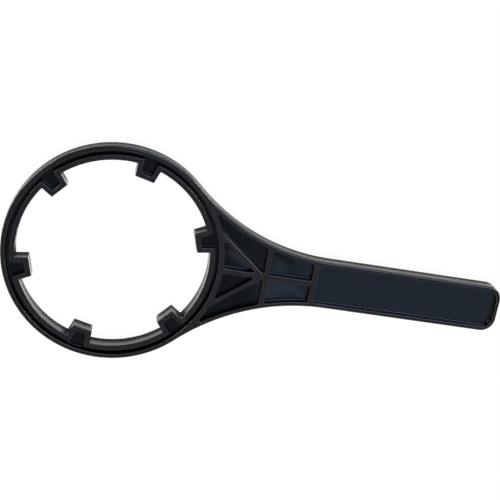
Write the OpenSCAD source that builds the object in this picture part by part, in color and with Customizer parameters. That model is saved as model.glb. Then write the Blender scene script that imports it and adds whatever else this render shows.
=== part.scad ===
// Filter housing wrench: a flat one-piece moulding that lies on its back face.
// The ring's axis is the Z axis, the handle runs along +X, and both faces are alike.

/* [Ring] */
// Diameter across the lug tips, the size of housing that the ring grips
lug_circle_d = 100.6; // [90:0.2:120]
// Height of a lug, from the ring's inner face to its tip
lug_h = 8.2; // [6:0.1:12]
// Thickness of the ring's inner and outer walls
ring_wall = 3.3; // [2:0.1:4]
// Width of the groove between the ring's walls
groove_w = 2.4; // [1.6:0.1:4]

/* [Lugs] */
// Number of lugs around the ring
lug_count = 6; // [4:1:8]
// Turn of the first lug from the handle's centre line, in degrees
lug_turn = 17; // [0:0.5:30]
// Width of a lug at its tip
lug_tip_w = 12; // [9:0.1:14]
// Slant of each side of a lug, in degrees
lug_flare = 9; // [0:0.5:15]
// Thickness of the wall around a lug's pocket
lug_wall = 3.2; // [2:0.1:3.6]

/* [Neck] */
// Radius of the neck's hollow sides
neck_r = 130; // [100:1:160]
// Width of the rim along the neck and the handle
rim_w = 3; // [2:0.1:3.6]
// Width of the ribs in the neck
rib_w = 3.2; // [2:0.1:4]
// Distance from the ring to the middle of the first cross rib
first_rib = 27.2; // [22:0.1:34]
// Distance from the first cross rib to the second
second_rib = 30.3; // [22:0.1:36]
// Angle at which the slanted braces leave the ring, in degrees
brace_turn = 23.8; // [18:0.1:28]
// Distance from the point where the braces meet to the first cross rib
brace_gap = 2.1; // [0:0.1:5]
// Width of the slanted braces
brace_w = 2.5; // [2:0.1:4]

/* [Handle] */
// Width of the handle
handle_w = 30.4; // [24:0.2:36]
// Distance from the second cross rib to the handle's end
pan_len = 121.9; // [80:0.1:160]
// Radius of the corners at the handle's end
end_r = 9.2; // [5:0.1:12]

/* [Section] */
// Thickness from face to face
thickness = 12; // [10:0.2:16]
// Thickness of the web in the ring and the neck
web_t = 2.4; // [1.6:0.1:4]
// Thickness of the web in the handle
pan_t = 4.8; // [2:0.1:6]
// Radius of the rounded edges along the outside
edge_r = 1.4; // [0.6:0.1:1.8]
// Radius of the rounded edges around the hole and the lugs
hole_edge_r = 0.7; // [0.3:0.1:1]

/* [Hidden] */
$fn = 180;

tip_r = lug_circle_d / 2;
hole_r = tip_r + lug_h;
groove_r = hole_r + ring_wall;
wall_r = groove_r + groove_w;
outer_r = wall_r + ring_wall;
mid_r = (groove_r + wall_r) / 2;

half_w = handle_w / 2;
rib1_x = outer_r + first_rib;
rib2_x = rib1_x + second_rib;
end_x = rib2_x + pan_len;
brace_x = rib1_x - brace_gap;

// The neck's hollows dip this far into the ring and the handle, so that the outlines cross
blend = 0.03;
neck_y = half_w + neck_r - blend;
neck_x = sqrt(pow(outer_r + neck_r - blend, 2) - pow(neck_y, 2));
neck_a = atan2(neck_y, neck_x);
neck_top = outer_r * sin(neck_a);
neck_start = outer_r * cos(neck_a) - ring_wall;

cut = 1;
// The rounded edges are drawn this much larger, so that they cross the flat faces
ease = 0.004;
web_z = (thickness - web_t) / 2;
pan_z = (thickness - pan_t) / 2;

// Flat area between the neck's two hollow sides, drawn in by an inset from each
module neck_area(inset) {
    difference() {
        translate([neck_start, -neck_top]) square([neck_x - neck_start, 2 * neck_top]);
        for (side = [-1, 1]) translate([neck_x, side * neck_y]) circle(neck_r + inset);
    }
}

// Rectangle along the handle with two rounded corners at its far end
module rounded_bar(x0, x1, half, corner) {
    translate([x0, -half]) square([x1 - corner - x0, 2 * half]);
    translate([x0, corner - half]) square([x1 - x0, 2 * (half - corner)]);
    for (side = [-1, 1]) translate([x1 - corner, side * (half - corner)]) circle(corner);
}

// Straight strip from one point to another
module strip(from, to, w) {
    run = to - from;
    translate(from) rotate(atan2(run[1], run[0])) translate([0, -w / 2]) square([norm(run), w]);
}

// Outline of a lug, or of its pocket where it is drawn in by the wall and ends in the groove
module lug_area(inset, root_r) {
    side = tan(lug_flare);
    tip = tip_r + inset;
    half = lug_tip_w / 2 + inset * side - inset / cos(lug_flare);
    root = half + (root_r - tip) * side;
    polygon([[tip, -half], [root_r, -root], [root_r, root], [tip, half]]);
}

// One copy of the children at each lug
module at_lugs() {
    for (i = [0 : lug_count - 1]) rotate(lug_turn + i * 360 / lug_count) children();
}

// Groove around the ring, open into a pocket behind each lug
module groove_area() {
    difference() {
        circle(wall_r);
        circle(groove_r);
    }
    at_lugs() lug_area(lug_wall, mid_r);
}

// Ribs that divide the neck: the centre rib, the first cross rib and the two braces
module rib_area() {
    strip([0, 0], [rib2_x, 0], rib_w);
    strip([rib1_x, -neck_top], [rib1_x, neck_top], rib_w);
    for (side = [-1, 1])
        strip(wall_r * [cos(brace_turn), side * sin(brace_turn)], [brace_x, 0], brace_w);
}

// Six cells of the neck, between the ring and the second cross rib
module cell_area() {
    difference() {
        intersection() {
            neck_area(rim_w);
            translate([0, -neck_top]) square([rib2_x - rib_w / 2, 2 * neck_top]);
        }
        circle(outer_r);
        rib_area();
    }
}

// Long hollow of the handle, from the second cross rib to the end
module pan_area() {
    rounded_bar(rib2_x + rib_w / 2, end_x - rim_w, half_w - rim_w, end_r - rim_w);
}

// Section of what a rounded edge takes away, with the sharp edge at the origin
module edge_area(r) {
    difference() {
        translate([-r, -r]) square(r + cut);
        translate([-r, -r]) circle(r + ease);
    }
}

// What a straight rounded edge takes away, along X, with the open side towards +Y
module straight_edge(run, r) {
    rotate([90, 0, 90]) linear_extrude(run) edge_area(r);
}

// The children at the front face and mirrored at the back face
module both_faces() {
    translate([0, 0, thickness]) children();
    mirror([0, 0, 1]) children();
}

// The children and their mirror image across the handle's centre line
module both_sides() {
    for (flip = [0, 1]) mirror([0, flip, 0]) children();
}

// Plain ring with rounded edges, without its lugs and groove
module ring_body() {
    difference() {
        cylinder(h = thickness, r = outer_r);
        translate([0, 0, -cut]) cylinder(h = thickness + 2 * cut, r = hole_r);
        both_faces() {
            rotate_extrude() translate([outer_r, 0]) edge_area(edge_r);
            rotate_extrude() translate([hole_r, 0]) mirror([1, 0]) edge_area(hole_edge_r);
        }
    }
}

// One lug with rounded edges, rooted in the ring
module lug_body() {
    half = lug_tip_w / 2;
    run = (mid_r - tip_r) / cos(lug_flare) + 2 * cut;
    difference() {
        linear_extrude(thickness) lug_area(0, mid_r);
        both_faces() {
            translate([tip_r, -half - cut, 0]) rotate(90) straight_edge(lug_tip_w + 2 * cut, hole_edge_r);
            both_sides() translate([tip_r, half, 0]) rotate(lug_flare) translate([-cut, 0, 0])
                straight_edge(run, hole_edge_r);
        }
    }
}

// Neck with rounded edges along its hollow sides, rooted in the ring
module neck_body() {
    difference() {
        linear_extrude(thickness) neck_area(0);
        translate([0, 0, -cut]) cylinder(h = thickness + 2 * cut, r = mid_r);
        both_sides() translate([neck_x, neck_y, 0])
            both_faces() rotate_extrude() translate([neck_r, 0]) mirror([1, 0]) edge_area(edge_r);
    }
}

// Handle with rounded edges along its sides and around its end
module handle_body() {
    corner_x = end_x - end_r;
    corner_y = half_w - end_r;
    difference() {
        linear_extrude(thickness) rounded_bar(rib2_x, end_x, half_w, end_r);
        both_faces() {
            both_sides() {
                translate([rib2_x - cut, half_w, 0]) straight_edge(corner_x - rib2_x + cut, edge_r);
                translate([corner_x, corner_y, 0])
                    rotate_extrude(angle = 90) translate([end_r, 0]) edge_area(edge_r);
            }
            translate([end_x, corner_y, 0]) rotate(-90) straight_edge(2 * corner_y, edge_r);
        }
    }
}

// A pocket of the given depth in both faces
module pockets(depth) {
    for (z = [-cut, thickness - depth])
        translate([0, 0, z]) linear_extrude(depth + cut) children();
}

module wrench() {
    color("#1c1e22") difference() {
        union() {
            ring_body();
            at_lugs() lug_body();
            neck_body();
            handle_body();
        }
        pockets(web_z) groove_area();
        pockets(web_z) cell_area();
        pockets(pan_z) pan_area();
    }
}

wrench();
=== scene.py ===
"""Dresses the filter housing wrench: its moulded form, its black plastic and the studio."""

import logging
import math
from dataclasses import dataclass
from enum import Enum
from typing import Callable, ClassVar

import bmesh
import bpy
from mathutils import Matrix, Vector


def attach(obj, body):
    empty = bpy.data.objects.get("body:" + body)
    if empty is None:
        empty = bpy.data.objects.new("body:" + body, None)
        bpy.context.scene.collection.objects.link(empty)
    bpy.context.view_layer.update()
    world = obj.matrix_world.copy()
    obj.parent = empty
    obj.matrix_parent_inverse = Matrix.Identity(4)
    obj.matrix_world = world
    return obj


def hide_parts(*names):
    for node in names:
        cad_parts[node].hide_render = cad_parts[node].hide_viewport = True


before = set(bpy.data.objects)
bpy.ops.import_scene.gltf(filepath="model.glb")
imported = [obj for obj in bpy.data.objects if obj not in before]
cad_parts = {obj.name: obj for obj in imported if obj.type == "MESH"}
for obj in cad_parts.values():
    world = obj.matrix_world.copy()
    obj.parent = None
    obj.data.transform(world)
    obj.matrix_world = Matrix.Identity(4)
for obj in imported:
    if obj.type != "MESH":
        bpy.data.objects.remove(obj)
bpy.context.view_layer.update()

NODE = "wrench"
BODY = "root"
MM = 0.001
SAME_PLACE = 1e-7
MERGE_GAP = 1e-6
SMOOTH_ANGLE = math.radians(40)
# Vertex layer with each point's share of the painted highlight along the rounded edges
PAINTED_EDGE_HIGHLIGHT = "painted_edge_highlight"
FLAT = 0.9999

Spot = tuple[float, float, float]
Tint = tuple[float, float, float]
Colour = tuple[float, float, float, float]

log = logging.getLogger("wrench")


class Side(Enum):
    """Half of the wrench on which a neck cell lies."""

    UPPER = 1
    LOWER = -1


class Tone(Enum):
    """Role of a lamp."""

    KEY = "key"
    BACK = "back"
    RIGHT = "right"
    LEFT = "left"
    SHEEN = "sheen"
    GLINT = "glint"


class Reach(Enum):
    """Which light of a lamp counts: the light that it spreads, or its mirror image."""

    MATT = "matt"
    GLOSS = "gloss"


@dataclass(frozen=True)
class Bend:
    """Rounded corner of an outline: its centre, radius and turn, and the run of its tip as it shrinks."""

    centre: Vector
    radius: float
    turn: int
    mitre: Vector

    SHARPEST: ClassVar[float] = 0.02

    def on_side(self, side: Side) -> "Bend":
        """The corner, or its mirror image on the lower half."""
        flip = Vector((1, side.value))
        return Bend(self.centre * flip, self.radius, self.turn, self.mitre * flip)


@dataclass(frozen=True)
class Station:
    """Point of an outline with the direction out of the plastic there, in millimetres."""

    place: Vector
    out: Vector
    bend: Bend | None = None

    def on_side(self, side: Side) -> "Station":
        """The station, or its mirror image on the lower half."""
        flip = Vector((1, side.value))
        return Station(self.place * flip, self.out * flip, self.bend and self.bend.on_side(side))

    def moved(self, gap: float) -> Vector:
        """Place on the outline that lies a gap further out of the plastic, where small corners turn sharp.

        Args:
            gap: Distance out of the plastic.

        Returns:
            The place.
        """
        bend = self.bend
        if bend is None or gap * bend.turn < bend.radius - bend.SHARPEST:
            return self.place + gap * self.out
        past = gap * bend.turn + bend.SHARPEST - bend.radius
        return bend.centre + bend.mitre * past - bend.SHARPEST * bend.turn * self.out


@dataclass(frozen=True)
class Straight:
    """Straight edge of an outline, walked with the open side on its left."""

    start: Vector
    end: Vector

    def heading(self, place: Vector) -> Vector:
        """Unit direction of travel, the same at every place."""
        return (self.end - self.start).normalized()

    def left(self) -> Vector:
        """Unit direction to the open side."""
        run = self.heading(self.start)
        return Vector((-run.y, run.x))

    def shifted(self, gap: float) -> "Straight":
        """Parallel edge, moved to the open side by a gap."""
        return Straight(self.start + gap * self.left(), self.end + gap * self.left())

    def nearest(self, place: Vector) -> Vector:
        """Foot of the perpendicular from a place."""
        run = self.heading(place)
        return self.start + run * (place - self.start).dot(run)

    def stations(self, first: Vector, last: Vector) -> list[Station]:
        """The two ends of the stretch that is walked."""
        return [Station(first, self.left()), Station(last, self.left())]


@dataclass(frozen=True)
class Curve:
    """Edge on a circle, walked anticlockwise for turn 1 and clockwise for turn -1."""

    centre: Vector
    radius: float
    turn: int

    SAG: ClassVar[float] = 0.02
    WIDEST_STEP: ClassVar[float] = math.radians(12)

    def heading(self, place: Vector) -> Vector:
        """Unit direction of travel at a place on the circle."""
        arm = (place - self.centre).normalized()
        return Vector((-arm.y, arm.x)) * self.turn

    def shifted(self, gap: float) -> "Curve":
        """Curve about the same centre, moved to the open side by a gap."""
        return Curve(self.centre, self.radius - self.turn * gap, self.turn)

    def nearest(self, place: Vector) -> Vector:
        """Point of the circle that is nearest to a place."""
        return self.centre + (place - self.centre).normalized() * self.radius

    def step(self) -> float:
        """Angle between stations that keeps the facets within the allowed sag."""
        return min(2 * math.acos(1 - self.SAG / max(self.radius, 2 * self.SAG)), self.WIDEST_STEP)

    def arm_angle(self, place: Vector) -> float:
        """Angle of a place about the centre."""
        arm = place - self.centre
        return math.atan2(arm.y, arm.x)

    def stations(self, first: Vector, last: Vector) -> list[Station]:
        """Evenly spread points of the arc between two places, both ends included.

        Args:
            first: Place where the walk along the arc starts.
            last: Place where it ends.

        Returns:
            Stations in walking order.
        """
        begin = self.arm_angle(first)
        sweep = ((self.arm_angle(last) - begin) * self.turn) % math.tau or math.tau
        count = max(1, math.ceil(sweep / self.step()))
        found = []
        for i in range(count + 1):
            angle = begin + self.turn * sweep * i / count
            arm = Vector((math.cos(angle), math.sin(angle)))
            found.append(Station(self.centre + arm * self.radius, -arm * self.turn))
        return found


Edge = Straight | Curve


def crossings(a: Edge, b: Edge) -> list[Vector]:
    """Points in which two edges, drawn out to full lines and circles, meet.

    Args:
        a: First edge.
        b: Second edge.

    Returns:
        No, one or two points.
    """
    if isinstance(a, Curve) and isinstance(b, Straight):
        return crossings(b, a)
    if isinstance(a, Straight) and isinstance(b, Straight):
        run, other = a.heading(a.start), b.heading(b.start)
        along = (b.start - a.start).cross(other) / run.cross(other)
        return [a.start + run * along]
    if isinstance(a, Straight):
        foot, run = a.nearest(b.centre), a.heading(a.start)
        reach = math.sqrt(max(0.0, b.radius**2 - (foot - b.centre).length_squared))
        return [foot + run * reach, foot - run * reach]
    gap = b.centre - a.centre
    span = gap.length
    along = (span**2 + a.radius**2 - b.radius**2) / (2 * span)
    reach = math.sqrt(max(0.0, a.radius**2 - along**2))
    axis = gap / span
    across = Vector((-axis.y, axis.x))
    return [a.centre + axis * along + across * s * reach for s in (1, -1)]


def meeting(a: Edge, b: Edge, near: Vector) -> Vector:
    """The crossing of two edges that lies nearest to a place."""
    return min(crossings(a, b), key=lambda p: (p - near).length)


@dataclass(frozen=True)
class Corner:
    """Meeting of two edges: a rough place and its rounding radius, or an exact place with no radius."""

    near: Vector
    radius: float = 0.0


@dataclass
class Outline:
    """Closed line of edges with rounded corners, walked with the open side on the left."""

    edges: list[Edge]
    corners: list[Corner]

    SAME: ClassVar[float] = 1e-4

    def stations(self) -> list[Station]:
        """Walks the whole outline once.

        Returns:
            Stations in walking order, with no place twice.
        """
        starts: list[Vector] = [Vector((0, 0))] * len(self.edges)
        ends: list[Vector] = list(starts)
        rounds: list[Curve | None] = []
        mitres: list[Vector] = []
        for i, corner in enumerate(self.corners):
            j = (i + 1) % len(self.edges)
            a, b = self.edges[i], self.edges[j]
            if not corner.radius:
                ends[i] = starts[j] = corner.near
                rounds.append(None)
                mitres.append(Vector((0, 0)))
                continue
            tip = meeting(a, b, corner.near)
            turn = 1 if a.heading(tip).cross(b.heading(tip)) > 0 else -1
            gap = turn * corner.radius
            centre = meeting(a.shifted(gap), b.shifted(gap), tip)
            ends[i], starts[j] = a.nearest(centre), b.nearest(centre)
            rounds.append(Curve(centre, corner.radius, turn))
            mitres.append((centre - tip) / corner.radius)
        found: list[Station] = []
        for i, edge in enumerate(self.edges):
            found += edge.stations(starts[i], ends[i])
            curve = rounds[i]
            if curve:
                bend = Bend(curve.centre, curve.radius, curve.turn, mitres[i])
                arc = curve.stations(ends[i], starts[(i + 1) % len(self.edges)])
                found += [Station(s.place, s.out, bend) for s in arc]
        kept: list[Station] = []
        for station in found:
            if not kept or (station.place - kept[-1].place).length > self.SAME:
                kept.append(station)
            elif station.bend:
                kept[-1] = station
        if (kept[0].place - kept[-1].place).length < self.SAME:
            last = kept.pop()
            kept[0] = last if last.bend else kept[0]
        return kept


@dataclass(frozen=True)
class Row:
    """Line of a wall: its distance out of the plastic and its height above the middle, with its share of the
    painted edge highlight.
    """

    out: float
    up: float
    painted_highlight: float = 0.0


@dataclass
class WrenchForm:
    """Sizes of the one-piece moulding, in millimetres, and the steps that model it."""

    # Ring and lugs
    tip_r: float = 50.3
    hole_r: float = 58.5
    groove_r: float = 61.8
    wall_r: float = 64.2
    outer_r: float = 67.5
    lug_count: int = 6
    lug_turn: float = 17.0
    lug_tip_half: float = 6.0
    lug_flare: float = 9.0
    lug_wall: float = 3.2
    # Neck and handle
    neck_r: float = 130.0
    rim_w: float = 3.0
    rib_w: float = 3.2
    rib1_x: float = 94.7
    rib2_x: float = 125.0
    brace_turn: float = 23.8
    brace_x: float = 92.6
    brace_w: float = 2.5
    half_w: float = 15.2
    end_x: float = 246.9
    end_r: float = 9.2
    # Half thicknesses, from the parting line
    half_t: float = 6.0
    web_half: float = 1.2
    pan_half: float = 2.4
    # Slopes of the walls and the ridge that the parting line leaves in the hole
    draft: float = math.tan(math.radians(3.0))
    hole_draft: float = math.tan(math.radians(0.6))
    hollow_draft: float = math.tan(math.radians(1.0))
    hole_flash: float = 0.1
    # Rounded edges, floors and corners
    outer_edge_r: float = 1.4
    hole_edge_r: float = 0.7
    rim_edge_r: float = 0.55
    floor_r: float = 0.8
    groove_floor_r: float = 0.5
    cell_corner_r: float = 0.9
    tip_corner_r: float = 0.9
    lug_corner_r: float = 0.4
    lug_root_r: float = 0.6
    mouth_r: float = 0.6
    edge_steps: int = 4
    # Share of the painted edge highlight on the sides' rounded edges, where the hollows' mouths have 1
    side_painted_highlight: float = 0.2
    # Gap beyond the groove's inner mouth, which parts the inner face from the outer one
    split_gap: float = 0.1

    @property
    def neck_y(self) -> float:
        """Distance from the centre line to the centre of a neck hollow."""
        return self.half_w + self.neck_r

    @property
    def neck_x(self) -> float:
        """Distance along the handle to the centres of the neck hollows."""
        return math.sqrt((self.outer_r + self.neck_r) ** 2 - self.neck_y**2)

    def outer_outline(self) -> Outline:
        """Outline of ring, neck and handle, walked clockwise.

        Returns:
            The outline, with tangent joints between ring, neck and handle.
        """
        centre = Vector((self.neck_x, self.neck_y))
        low = Vector((self.neck_x, -self.neck_y))
        on_ring = centre.normalized() * self.outer_r
        low_ring = low.normalized() * self.outer_r
        upper, lower = Vector((self.neck_x, self.half_w)), Vector((self.neck_x, -self.half_w))
        far_up, far_low = Vector((self.end_x, self.half_w)), Vector((self.end_x, -self.half_w))
        edges = [
            Curve(Vector((0, 0)), self.outer_r, -1),
            Curve(centre, self.neck_r, 1),
            Straight(upper, far_up),
            Straight(far_up, far_low),
            Straight(far_low, lower),
            Curve(low, self.neck_r, 1),
        ]
        corners = [
            Corner(on_ring),
            Corner(upper),
            Corner(far_up, self.end_r),
            Corner(far_low, self.end_r),
            Corner(lower),
            Corner(low_ring),
        ]
        return Outline(edges, corners)

    def lug_points(self, inset: float, root_r: float) -> list[Vector]:
        """Four corners of a lug on the X axis, or of its pocket where it is drawn in by the wall.

        Args:
            inset: Distance by which the sides and the tip are drawn in.
            root_r: Radius at which the sides end.

        Returns:
            Lower root, lower tip, upper tip and upper root.
        """
        flare = math.radians(self.lug_flare)
        tip = self.tip_r + inset
        half = self.lug_tip_half + inset * math.tan(flare) - inset / math.cos(flare)
        root = half + (root_r - tip) * math.tan(flare)
        return [Vector((root_r, -root)), Vector((tip, -half)), Vector((tip, half)), Vector((root_r, root))]

    def lugged_outline(self, radius: float, inset: float, turn: int, tip_r: float, root_r: float) -> Outline:
        """Circle that is broken by the lugs or by their pockets.

        Args:
            radius: Radius of the circle.
            inset: Distance by which the lugs are drawn in.
            turn: 1 for the hole, walked anticlockwise, and -1 for the groove's inner wall.
            tip_r: Radius that rounds the corners at the tips.
            root_r: Radius that rounds the corners on the circle.

        Returns:
            The outline.
        """
        edges: list[Edge] = []
        corners: list[Corner] = []
        for i in range(self.lug_count):
            angle = math.radians(self.lug_turn) + turn * i * math.tau / self.lug_count
            spin = [Vector((math.cos(angle), math.sin(angle))), Vector((-math.sin(angle), math.cos(angle)))]
            points = [p.x * spin[0] + p.y * spin[1] for p in self.lug_points(inset, radius)[::turn]]
            edges += [Straight(a, b) for a, b in zip(points, points[1:])]
            edges.append(Curve(Vector((0, 0)), radius, turn))
            corners += [Corner(points[1], tip_r), Corner(points[2], tip_r), Corner(points[3], root_r)]
            corners.append(Corner(Vector((0, 0)), root_r))
        for i in range(3, len(corners), 4):
            corners[i] = Corner(edges[(i + 1) % len(edges)].start, root_r)
        return Outline(edges, corners)

    def brace_edge(self, above: bool) -> Straight:
        """Edge of the upper brace, walked with a cell on its left.

        Args:
            above: True for the edge towards the rim, False for the one towards the centre rib.

        Returns:
            The edge.
        """
        turn = math.radians(self.brace_turn)
        root = self.wall_r * Vector((math.cos(turn), math.sin(turn)))
        foot = Vector((self.brace_x, 0))
        axis = Straight(root, foot) if above else Straight(foot, root)
        return axis.shifted(self.brace_w / 2)

    def cell_outlines(self) -> list[Outline]:
        """The three cells of the upper half of the neck.

        Returns:
            The triangle beside the ring, the cell along the rim and the cell between the cross ribs.
        """
        half = self.rib_w / 2
        ring = Curve(Vector((0, 0)), self.outer_r, -1)
        rim = Curve(Vector((self.neck_x, self.neck_y)), self.neck_r + self.rim_w, -1)
        floor_line = Straight(Vector((self.outer_r, half)), Vector((self.rib2_x, half)))
        r = self.cell_corner_r
        low = self.brace_edge(False)
        triangle = Outline(
            [floor_line, low, ring],
            [
                Corner(Vector((self.brace_x, half)), r),
                Corner(low.end, r),
                Corner(Vector((self.outer_r, half)), r),
            ],
        )
        high = self.brace_edge(True)
        left = self.rib1_x - half
        rising = Straight(Vector((left, half)), Vector((left, self.neck_y)))
        side = Outline(
            [rising, rim, ring, high],
            [
                Corner(meeting(rising, rim, Vector((left, self.half_w))), r),
                Corner(self.upper_tip(ring, rim), self.tip_corner_r),
                Corner(high.start, r),
                Corner(Vector((left, half)), r),
            ],
        )
        first, last = self.rib1_x + half, self.rib2_x - half
        closing = Straight(Vector((last, half)), Vector((last, self.neck_y)))
        falling = Straight(Vector((first, self.neck_y)), Vector((first, half)))
        between = Outline(
            [floor_line, closing, rim, falling],
            [
                Corner(Vector((last, half)), r),
                Corner(meeting(closing, rim, Vector((last, self.half_w))), r),
                Corner(meeting(falling, rim, Vector((first, self.half_w))), r),
                Corner(Vector((first, half)), r),
            ],
        )
        return [triangle, side, between]

    def upper_tip(self, ring: Curve, rim: Curve) -> Vector:
        """Crossing of the ring and the rim that lies towards the handle."""
        return max(crossings(ring, rim), key=lambda p: p.x)

    def pan_outline(self) -> Outline:
        """Long hollow of the handle, walked anticlockwise.

        Returns:
            The outline.
        """
        near, far = self.rib2_x + self.rib_w / 2, self.end_x - self.rim_w
        half = self.half_w - self.rim_w
        points = [Vector((near, -half)), Vector((far, -half)), Vector((far, half)), Vector((near, half))]
        edges: list[Edge] = [Straight(a, b) for a, b in zip(points, points[1:] + points[:1])]
        radii = [self.end_r - self.rim_w, self.end_r - self.rim_w, self.cell_corner_r, self.cell_corner_r]
        return Outline(edges, [Corner(p, r) for p, r in zip(points[1:] + points[:1], radii)])

    def side_rows(self, edge_r: float, draft: float, flash: float = 0.0) -> list[Row]:
        """Rows of a side from the parting line up to the face.

        Args:
            edge_r: Radius of the rounded edge.
            draft: Slope of the side.
            flash: Height of the ridge that the parting line leaves.

        Returns:
            Rows from the middle to the face.
        """
        foot = self.half_t - edge_r
        rows = [Row(flash, 0), Row(0, flash)] if flash else [Row(0, 0)]
        rows.append(Row(-draft * foot, foot))
        start = rows[-1].out
        for i in range(1, self.edge_steps + 1):
            angle = math.pi / 2 * i / self.edge_steps
            out = start - edge_r * (1 - math.cos(angle))
            # The rounded edge takes a painted highlight, strongest halfway round
            rows.append(Row(out, foot + edge_r * math.sin(angle), self.side_painted_highlight * math.sin(2 * angle)))
        return rows

    def hollow_rows(self, floor: float, floor_r: float) -> list[Row]:
        """Rows of a hollow from the face down to its floor.

        Args:
            floor: Height of the floor above the middle.
            floor_r: Radius between wall and floor.

        Returns:
            Rows from the face to the floor.
        """
        edge_r, top = self.rim_edge_r, self.half_t - self.rim_edge_r
        rows = []
        for i in range(self.edge_steps + 1):
            angle = math.pi / 2 * (1 - i / self.edge_steps)
            out = edge_r * (math.cos(angle) - 1)
            # The hollow's mouth takes a painted highlight, strongest halfway round
            rows.append(Row(out, top + edge_r * math.sin(angle), math.sin(2 * angle)))
        wall = self.hollow_draft * (top - floor - floor_r)
        for i in range(self.edge_steps + 1):
            angle = math.pi / 2 * i / self.edge_steps
            rows.append(Row(wall + floor_r * (1 - math.cos(angle)), floor + floor_r * (1 - math.sin(angle))))
        return rows

    def add_wall(
        self, name: str, stations: list[Station], rows: list[Row], floored: bool
    ) -> bpy.types.Object:
        """Models one wall: a circle laid along the outline and extruded from row to row.

        Args:
            name: Name of the new object.
            stations: Outline that the wall follows.
            rows: Rows from its first line to its last.
            floored: True where the last row is closed by a flat floor.

        Returns:
            The wall, in metres, with the middle of the wrench at height 0.
        """
        bpy.ops.object.select_all(action="DESELECT")
        bpy.ops.mesh.primitive_circle_add(vertices=len(stations), radius=1)
        wall = bpy.context.object
        wall.name = name
        bpy.ops.object.mode_set(mode="EDIT")
        bm = bmesh.from_edit_mesh(wall.data)
        # Layer for the painted edge highlight
        painted_highlight = bm.verts.layers.float.new(PAINTED_EDGE_HIGHLIGHT)
        line = list(bm.verts)
        lay_row(line, stations, rows[0], painted_highlight)
        for row in rows[1:]:
            order = {tuple(v.co): i for i, v in enumerate(line)}
            bmesh.update_edit_mesh(wall.data)
            bpy.ops.mesh.extrude_edges_move()
            bm = bmesh.from_edit_mesh(wall.data)
            painted_highlight = bm.verts.layers.float[PAINTED_EDGE_HIGHLIGHT]
            line = sorted((v for v in bm.verts if v.select), key=lambda v: order[tuple(v.co)])
            lay_row(line, stations, row, painted_highlight)
        bmesh.update_edit_mesh(wall.data)
        if floored:
            bpy.ops.mesh.edge_face_add()
        bpy.ops.object.mode_set(mode="OBJECT")
        return wall

    def add_walls(self) -> list[bpy.types.Object]:
        """Models every wall of the upper half: the two sides, the groove, the six cells and the pan.

        Returns:
            The walls, each an object of its own.
        """
        hole = self.lugged_outline(self.hole_r, 0, 1, self.lug_corner_r, self.lug_root_r)
        inner = self.lugged_outline(self.groove_r, self.lug_wall, -1, self.cell_corner_r, self.mouth_r)
        circle = Curve(Vector((0, 0)), self.wall_r, 1)
        start = Vector((self.wall_r, 0))
        outer_rows = self.side_rows(self.outer_edge_r, self.draft)
        hole_rows = self.side_rows(self.hole_edge_r, self.hole_draft, self.hole_flash)
        groove_rows = self.hollow_rows(self.web_half, self.groove_floor_r)
        walls = [
            self.add_wall("outer_side", self.outer_outline().stations(), outer_rows, False),
            self.add_wall("hole_side", hole.stations(), hole_rows, False),
            self.add_wall("groove_outer", circle.stations(start, start)[:-1], groove_rows, False),
            self.add_wall("groove_inner", inner.stations(), groove_rows, False),
        ]
        cell_rows = self.hollow_rows(self.web_half, self.floor_r)
        for side in Side:
            for i, outline in enumerate(self.cell_outlines()):
                stations = [s.on_side(side) for s in outline.stations()]
                walls.append(self.add_wall(f"cell_{side.name}_{i}", stations, cell_rows, True))
        pan_rows = self.hollow_rows(self.pan_half, self.floor_r)
        walls.append(self.add_wall("pan", self.pan_outline().stations(), pan_rows, True))
        return walls

    def close_faces(self) -> None:
        """Fills the groove's floor and the face, in edit mode, between the lines that are still open."""
        split = self.groove_r + self.rim_edge_r + self.split_gap

        def at(v: bmesh.types.BMVert, height: float) -> bool:
            """True for a point at a height above the middle."""
            return abs(v.co.z - height * MM) < SAME_PLACE

        def inside(v: bmesh.types.BMVert) -> bool:
            """True for a point on the inner side of the groove."""
            return v.co.xy.length < split * MM

        fill_between(lambda v: at(v, self.web_half))
        fill_between(lambda v: at(v, self.half_t) and inside(v))
        fill_between(lambda v: at(v, self.half_t) and not inside(v))

    def build(self) -> bpy.types.Object:
        """Models the whole wrench.

        Returns:
            The finished piece, at the origin and untransformed.
        """
        walls = self.add_walls()
        bpy.ops.object.select_all(action="DESELECT")
        for wall in walls:
            wall.select_set(True)
        bpy.context.view_layer.objects.active = walls[0]
        bpy.ops.object.join()
        piece = bpy.context.object
        piece.name = "wrench_body"
        piece.data.name = "wrench_body"
        bpy.ops.object.mode_set(mode="EDIT")
        self.close_faces()
        bpy.ops.object.mode_set(mode="OBJECT")
        bpy.ops.object.modifier_add(type="MIRROR")
        mirror = piece.modifiers[-1]
        mirror.use_axis = (False, False, True)
        mirror.merge_threshold = MERGE_GAP
        bpy.ops.object.modifier_apply(modifier=mirror.name)
        bpy.ops.object.mode_set(mode="EDIT")
        bpy.ops.mesh.select_all(action="SELECT")
        bpy.ops.transform.translate(value=(0, 0, self.half_t * MM))
        bpy.ops.mesh.remove_doubles(threshold=MERGE_GAP)
        bpy.ops.mesh.normals_make_consistent(inside=False)
        bpy.ops.object.mode_set(mode="OBJECT")
        self.shade(piece)
        return piece

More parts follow.
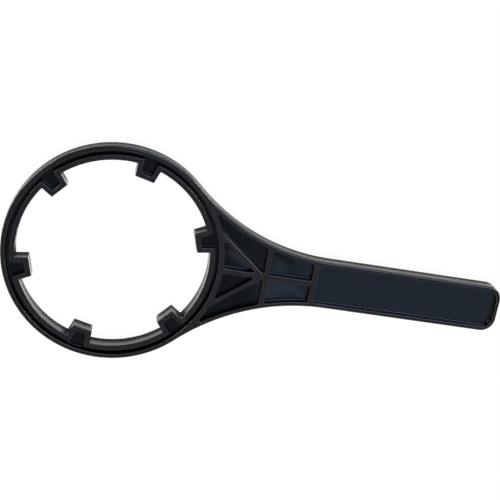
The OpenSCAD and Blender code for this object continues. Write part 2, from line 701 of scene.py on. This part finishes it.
    def shade(self, piece: bpy.types.Object) -> None:
        """Smooths the rounded edges, keeps the parting line sharp and lets the flats set the normals.

        Args:
            piece: The modelled wrench.
        """
        bpy.ops.object.shade_smooth_by_angle(angle=SMOOTH_ANGLE)
        bpy.ops.object.mode_set(mode="EDIT")
        bpy.ops.mesh.select_all(action="DESELECT")
        bm = bmesh.from_edit_mesh(piece.data)
        middle = self.half_t * MM
        for edge in bm.edges:
            edge.select_set(all(abs(v.co.z - middle) < SAME_PLACE for v in edge.verts))
        bmesh.update_edit_mesh(piece.data)
        bpy.ops.mesh.mark_sharp()
        bpy.ops.mesh.select_all(action="DESELECT")
        bpy.ops.mesh.select_mode(type="FACE")
        bm = bmesh.from_edit_mesh(piece.data)
        for face in bm.faces:
            face.select_set(abs(face.normal.z) > FLAT)
        bmesh.update_edit_mesh(piece.data)
        bpy.ops.mesh.mod_weighted_strength(set=True, face_strength="STRONG")
        bpy.ops.object.mode_set(mode="OBJECT")
        bpy.ops.object.modifier_add(type="WEIGHTED_NORMAL")
        weighted = piece.modifiers[-1]
        weighted.keep_sharp = True
        weighted.use_face_influence = True
        bpy.ops.object.modifier_apply(modifier=weighted.name)

    def dress(self, piece: bpy.types.Object, finish: "BlackPlastic") -> None:
        """Gives the piece its finish."""
        piece.data.materials.append(finish.material())


def lay_row(line: list[bmesh.types.BMVert], stations: list[Station], row: Row, painted_highlight: object) -> None:
    """Moves a line of points to its row on a wall.

    Args:
        line: Points in the order of the stations.
        stations: Outline that the wall follows.
        row: Distance out of the plastic, height and share of the painted edge highlight of the row.
        painted_highlight: Layer that takes the painted edge highlight.
    """
    for vert, station in zip(line, stations):
        place = station.moved(row.out)
        vert.co = Vector((place.x, place.y, row.up)) * MM
        vert[painted_highlight] = row.painted_highlight


def fill_between(wanted: Callable[[bmesh.types.BMVert], bool]) -> None:
    """Fills the area between the open lines whose points are wanted, in edit mode.

    Args:
        wanted: Test of a point.
    """
    mesh = bpy.context.object.data
    bpy.ops.mesh.select_all(action="DESELECT")
    bm = bmesh.from_edit_mesh(mesh)
    for edge in bm.edges:
        if edge.is_boundary and all(wanted(v) for v in edge.verts):
            edge.select_set(True)
    bmesh.update_edit_mesh(mesh)
    bpy.ops.mesh.fill(use_beauty=True)


def mix_colours(
    tree: bpy.types.NodeTree, share: bpy.types.NodeSocket, base: bpy.types.NodeSocket | Colour, top: Colour
) -> bpy.types.NodeSocket:
    """Adds a mix of two colours to a node tree.

    Args:
        tree: Tree that takes the mix.
        share: Share of the second colour.
        base: First colour, or the socket that gives it.
        top: Second colour.

    Returns:
        The mixed colour.
    """
    mix = tree.nodes.new("ShaderNodeMix")
    mix.data_type = "RGBA"
    tree.links.new(share, mix.inputs["Factor"])
    if isinstance(base, bpy.types.NodeSocket):
        tree.links.new(base, mix.inputs["A"])
    else:
        mix.inputs["A"].default_value = base
    mix.inputs["B"].default_value = top
    return mix.outputs["Result"]


@dataclass(frozen=True)
class BlackPlastic:
    """Black moulded plastic, semi-gloss, with a fine mould texture, faint flow marks and a painted highlight
    along the rounded edges.
    """

    dark: Colour = (0.0012, 0.0015, 0.0022, 1)
    light: Colour = (0.0024, 0.0029, 0.0038, 1)
    # Colour of the two outer faces, lighter than that of the hollows' floors
    face: Colour = (0.006, 0.0068, 0.0086, 1)
    # Beige painted highlight along the rounded edges
    painted_highlight_colour: Colour = (0.05, 0.043, 0.038, 1)
    smooth: float = 0.05
    rough: float = 0.09
    land_rough: float = 0.24
    land_mm: float = 0.2
    middle_mm: float = 6.0
    grain_mm: float = 0.45
    grain_detail: float = 2.0
    grain_strength: float = 0.08
    grain_depth_mm: float = 0.05
    flow_mm: float = 14.0
    flow_detail: float = 4.0
    sink_mm: float = 18.0
    sink_detail: float = 0.0
    sink_layer: float = 10.0
    sink_strength: float = 1.0
    sink_depth_mm: float = 0.35

    def material(self) -> bpy.types.Material:
        """Builds the finish on the piece's own coordinates.

        Returns:
            The material.
        """
        made = bpy.data.materials.new("black_plastic")
        made.use_nodes = True
        nodes, links = made.node_tree.nodes, made.node_tree.links
        shader = nodes["Principled BSDF"]
        where = nodes.new("ShaderNodeTexCoord").outputs["Object"]

        flow = self.noise(nodes, links, where, self.flow_mm, self.flow_detail)
        grain = self.noise(nodes, links, where, self.grain_mm, self.grain_detail)
        sink = self.noise(nodes, links, where, self.sink_mm, self.sink_detail, self.sink_layer)
        land = self.land(nodes, links, where)

        # Painted highlight: the beige colour laid on the rounded edges, broken up by the flow noise
        painted_highlight = nodes.new("ShaderNodeAttribute")
        painted_highlight.attribute_name = PAINTED_EDGE_HIGHLIGHT
        broken = nodes.new("ShaderNodeMath")
        broken.operation = "MULTIPLY"
        links.new(painted_highlight.outputs["Fac"], broken.inputs[0])
        links.new(flow, broken.inputs[1])
        tinted = mix_colours(made.node_tree, flow, self.dark, self.light)
        faced = mix_colours(made.node_tree, land, tinted, self.face)
        with_painted_highlight = mix_colours(made.node_tree, broken.outputs[0], faced, self.painted_highlight_colour)
        links.new(with_painted_highlight, shader.inputs["Base Color"])

        gloss = nodes.new("ShaderNodeMapRange")
        gloss.inputs["To Min"].default_value = self.smooth
        gloss.inputs["To Max"].default_value = self.rough
        links.new(grain, gloss.inputs["Value"])
        dulled = nodes.new("ShaderNodeMath")
        dulled.operation = "MULTIPLY_ADD"
        dulled.inputs[1].default_value = self.land_rough
        links.new(land, dulled.inputs[0])
        links.new(gloss.outputs["Result"], dulled.inputs[2])
        links.new(dulled.outputs[0], shader.inputs["Roughness"])

        bump = nodes.new("ShaderNodeBump")
        bump.inputs["Strength"].default_value = self.grain_strength
        bump.inputs["Distance"].default_value = self.grain_depth_mm * MM
        links.new(grain, bump.inputs["Height"])
        wave = nodes.new("ShaderNodeBump")
        wave.inputs["Strength"].default_value = self.sink_strength
        wave.inputs["Distance"].default_value = self.sink_depth_mm * MM
        links.new(sink, wave.inputs["Height"])
        links.new(wave.outputs["Normal"], bump.inputs["Normal"])
        links.new(bump.outputs["Normal"], shader.inputs["Normal"])
        return made

    def land(
        self, nodes: bpy.types.Nodes, links: bpy.types.NodeLinks, where: bpy.types.NodeSocket
    ) -> bpy.types.NodeSocket:
        """Mask of the two outer faces, which the mould leaves rougher than the hollows and which are drawn
        lighter in colour.

        Args:
            nodes: Nodes of the material.
            links: Links of the material.
            where: Coordinates of the piece.

        Returns:
            1 on the faces, falling to 0 just below them.
        """
        split = nodes.new("ShaderNodeSeparateXYZ")
        links.new(where, split.inputs[0])
        centred = nodes.new("ShaderNodeMath")
        centred.operation = "SUBTRACT"
        centred.inputs[1].default_value = self.middle_mm * MM
        links.new(split.outputs["Z"], centred.inputs[0])
        height = nodes.new("ShaderNodeMath")
        height.operation = "ABSOLUTE"
        links.new(centred.outputs[0], height.inputs[0])
        mask = nodes.new("ShaderNodeMapRange")
        mask.inputs["From Min"].default_value = (self.middle_mm - self.land_mm) * MM
        mask.inputs["From Max"].default_value = self.middle_mm * MM
        links.new(height.outputs[0], mask.inputs["Value"])
        return mask.outputs["Result"]

    def noise(
        self,
        nodes: bpy.types.Nodes,
        links: bpy.types.NodeLinks,
        where: bpy.types.NodeSocket,
        size: float,
        depth: float,
        layer: float | None = None,
    ) -> bpy.types.NodeSocket:
        """Adds a noise of a given grain size.

        Args:
            nodes: Nodes of the material.
            links: Links of the material.
            where: Coordinates that the noise reads.
            size: Size of a grain in millimetres.
            depth: Levels of finer detail.
            layer: Place along a fourth axis, which picks another pattern of the same kind.

        Returns:
            The noise's value, from 0 to 1.
        """
        made = nodes.new("ShaderNodeTexNoise")
        if layer is not None:
            made.noise_dimensions = "4D"
            made.inputs["W"].default_value = layer
        made.inputs["Scale"].default_value = 1 / (size * MM)
        made.inputs["Detail"].default_value = depth
        links.new(where, made.inputs["Vector"])
        return made.outputs["Fac"]


@dataclass(frozen=True)
class Lamp:
    """Soft box: its role, place, target and size in metres, its power in watts, its colour and its reach."""

    tone: Tone
    place: Spot
    target: Spot
    width: float
    height: float
    watts: float
    colour: Tint
    reach: Reach

    def add(self) -> None:
        """Hangs the lamp."""
        data = bpy.data.lights.new(f"lamp_{self.tone.value}", "AREA")
        data.shape = "RECTANGLE"
        data.size, data.size_y = self.width, self.height
        data.energy = self.watts
        data.color = self.colour
        lamp = bpy.data.objects.new(data.name, data)
        lamp.location = self.place
        aim = Vector(self.target) - Vector(self.place)
        lamp.rotation_euler = aim.to_track_quat("-Z", "Y").to_euler()
        lamp.visible_glossy = self.reach is Reach.GLOSS
        lamp.visible_diffuse = self.reach is Reach.MATT
        bpy.context.scene.collection.objects.link(lamp)


@dataclass
class Studio:
    """Pale floor, soft lamps, pale surroundings and the camera."""

    floor_half: float = 4.0
    floor_white: float = 0.86
    shown_white: float = 0.96
    mirrored_white: float = 0.05
    low_sky: Colour = (0.45, 0.37, 0.31, 1)
    high_sky: Colour = (0.1, 0.125, 0.17, 1)
    sky_turns_at: float = 0.3
    sky_turned_at: float = 0.85
    background_white: float = 1.0
    neutral: Tint = (1.0, 0.94, 0.89)
    warm: Tint = (1.0, 0.9, 0.84)
    cool: Tint = (0.45, 0.66, 1.0)
    middle: Spot = (0.09, 0.0, 0.0)
    glint_spot: Spot = (0.475, 0.005, 0.0)
    sheen_spot: Spot = (0.56, 0.0, 0.0)
    camera_place: Spot = (-0.02428, 0.19544, 0.652377)
    camera_turn: tuple[float, float, float] = (-16.923, -6.3215, 10.6077)
    focal_px: float = 1101.91
    image_px: float = 500.0
    sensor_mm: float = 36.0

    def lamps(self) -> list[Lamp]:
        """The soft boxes: one that spreads light, and five that are only seen as highlights.

        Returns:
            The lamps.
        """
        middle, warm, cool, gloss = self.middle, self.warm, self.cool, Reach.GLOSS
        return [
            Lamp(Tone.KEY, (0.09, -0.46, 1.6), middle, 0.5, 0.4, 44, self.neutral, Reach.MATT),
            Lamp(Tone.BACK, (0.49, 0.81, 1.04), middle, 1.2, 0.5, 12, cool, gloss),
            Lamp(Tone.RIGHT, (1.216, 0.788, 0.12), middle, 0.4, 0.16, 8, warm, gloss),
            Lamp(Tone.LEFT, (-1.114, 0.64, 0.12), middle, 0.6, 0.16, 7, warm, gloss),
            Lamp(Tone.GLINT, (0.3, -0.345, 1.14), self.glint_spot, 0.14, 0.025, 0.013, cool, gloss),
            Lamp(Tone.SHEEN, (0.56, -0.35, 1.14), self.sheen_spot, 0.4, 0.14, 0.08, cool, gloss),
        ]

    def add_floor(self) -> None:
        """Lays the floor that the wrench rests on."""
        bpy.ops.object.select_all(action="DESELECT")
        bpy.ops.mesh.primitive_plane_add(size=2 * self.floor_half, location=(0, 0, 0))
        floor = bpy.context.object
        floor.name = "floor"
        floor.data.materials.append(self.floor_material())

    def floor_material(self) -> bpy.types.Material:
        """White floor that is drawn near white and keeps the shadow.

        Returns:
            The material.
        """
        made = bpy.data.materials.new("floor_white")
        made.use_nodes = True
        nodes, links = made.node_tree.nodes, made.node_tree.links
        nodes.remove(nodes["Principled BSDF"])
        matt = nodes.new("ShaderNodeBsdfDiffuse")
        matt.inputs["Color"].default_value = (self.floor_white,) * 3 + (1,)
        shown = nodes.new("ShaderNodeEmission")
        mixed = nodes.new("ShaderNodeMixShader")
        links.new(self.seen(nodes, links), mixed.inputs["Fac"])
        links.new(matt.outputs[0], mixed.inputs[1])
        links.new(shown.outputs[0], mixed.inputs[2])
        links.new(mixed.outputs[0], nodes["Material Output"].inputs["Surface"])
        return made

    def seen(self, nodes: bpy.types.Nodes, links: bpy.types.NodeLinks) -> bpy.types.NodeSocket:
        """Share of plain white that a ray from the camera or from a gloss sees.

        Args:
            nodes: Nodes of the tree.
            links: Links of the tree.

        Returns:
            The share, which is 0 for every other ray.
        """
        path = nodes.new("ShaderNodeLightPath")
        share: bpy.types.NodeSocket | None = None
        for ray, white in (
            ("Is Glossy Ray", self.mirrored_white),
            ("Is Transmission Ray", self.shown_white),
            ("Is Camera Ray", self.shown_white),
        ):
            part = nodes.new("ShaderNodeMath")
            part.operation = "MULTIPLY"
            part.inputs[1].default_value = white
            links.new(path.outputs[ray], part.inputs[0])
            if share is None:
                share = part.outputs[0]
                continue
            most = nodes.new("ShaderNodeMath")
            most.operation = "MAXIMUM"
            links.new(share, most.inputs[0])
            links.new(part.outputs[0], most.inputs[1])
            share = most.outputs[0]
        return share

    def add_surroundings(self) -> None:
        """Lights the scene softly from all round and draws the far background white."""
        world = bpy.data.worlds.new("studio")
        bpy.context.scene.world = world
        world.use_nodes = True
        nodes, links = world.node_tree.nodes, world.node_tree.links
        soft = nodes["Background"]
        split = nodes.new("ShaderNodeSeparateXYZ")
        links.new(nodes.new("ShaderNodeTexCoord").outputs["Generated"], split.inputs[0])
        height = nodes.new("ShaderNodeMapRange")
        height.interpolation_type = "SMOOTHSTEP"
        height.inputs["From Min"].default_value = self.sky_turns_at
        height.inputs["From Max"].default_value = self.sky_turned_at
        links.new(split.outputs["Z"], height.inputs["Value"])
        sky = mix_colours(world.node_tree, height.outputs["Result"], self.low_sky, self.high_sky)
        links.new(sky, soft.inputs["Color"])
        white = nodes.new("ShaderNodeBackground")
        white.inputs["Strength"].default_value = self.background_white
        path = nodes.new("ShaderNodeLightPath")
        mixed = nodes.new("ShaderNodeMixShader")
        links.new(path.outputs["Is Camera Ray"], mixed.inputs["Fac"])
        links.new(soft.outputs[0], mixed.inputs[1])
        links.new(white.outputs[0], mixed.inputs[2])
        links.new(mixed.outputs[0], nodes["World Output"].inputs["Surface"])

    def add_camera(self) -> None:
        """Places the camera at the photograph's viewpoint."""
        data = bpy.data.cameras.new("camera")
        data.sensor_width = self.sensor_mm
        data.lens = self.sensor_mm * self.focal_px / self.image_px
        camera = bpy.data.objects.new("camera", data)
        camera.location = self.camera_place
        camera.rotation_euler = [math.radians(a) for a in self.camera_turn]
        bpy.context.scene.collection.objects.link(camera)
        bpy.context.scene.camera = camera

    def build(self) -> None:
        """Sets up the whole studio."""
        self.add_camera()
        self.add_floor()
        self.add_surroundings()
        for lamp in self.lamps():
            lamp.add()
        bpy.context.scene.view_settings.view_transform = "Standard"


def main() -> None:
    """Builds the wrench and its studio."""
    logging.basicConfig(level=logging.INFO)
    Studio().build()
    wrench = WrenchForm()
    piece = wrench.build()
    wrench.dress(piece, BlackPlastic())
    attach(piece, BODY)
    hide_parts(NODE)
    log.info("%s: %d faces", piece.name, len(piece.data.polygons))


if __name__ == "__main__":
    main()
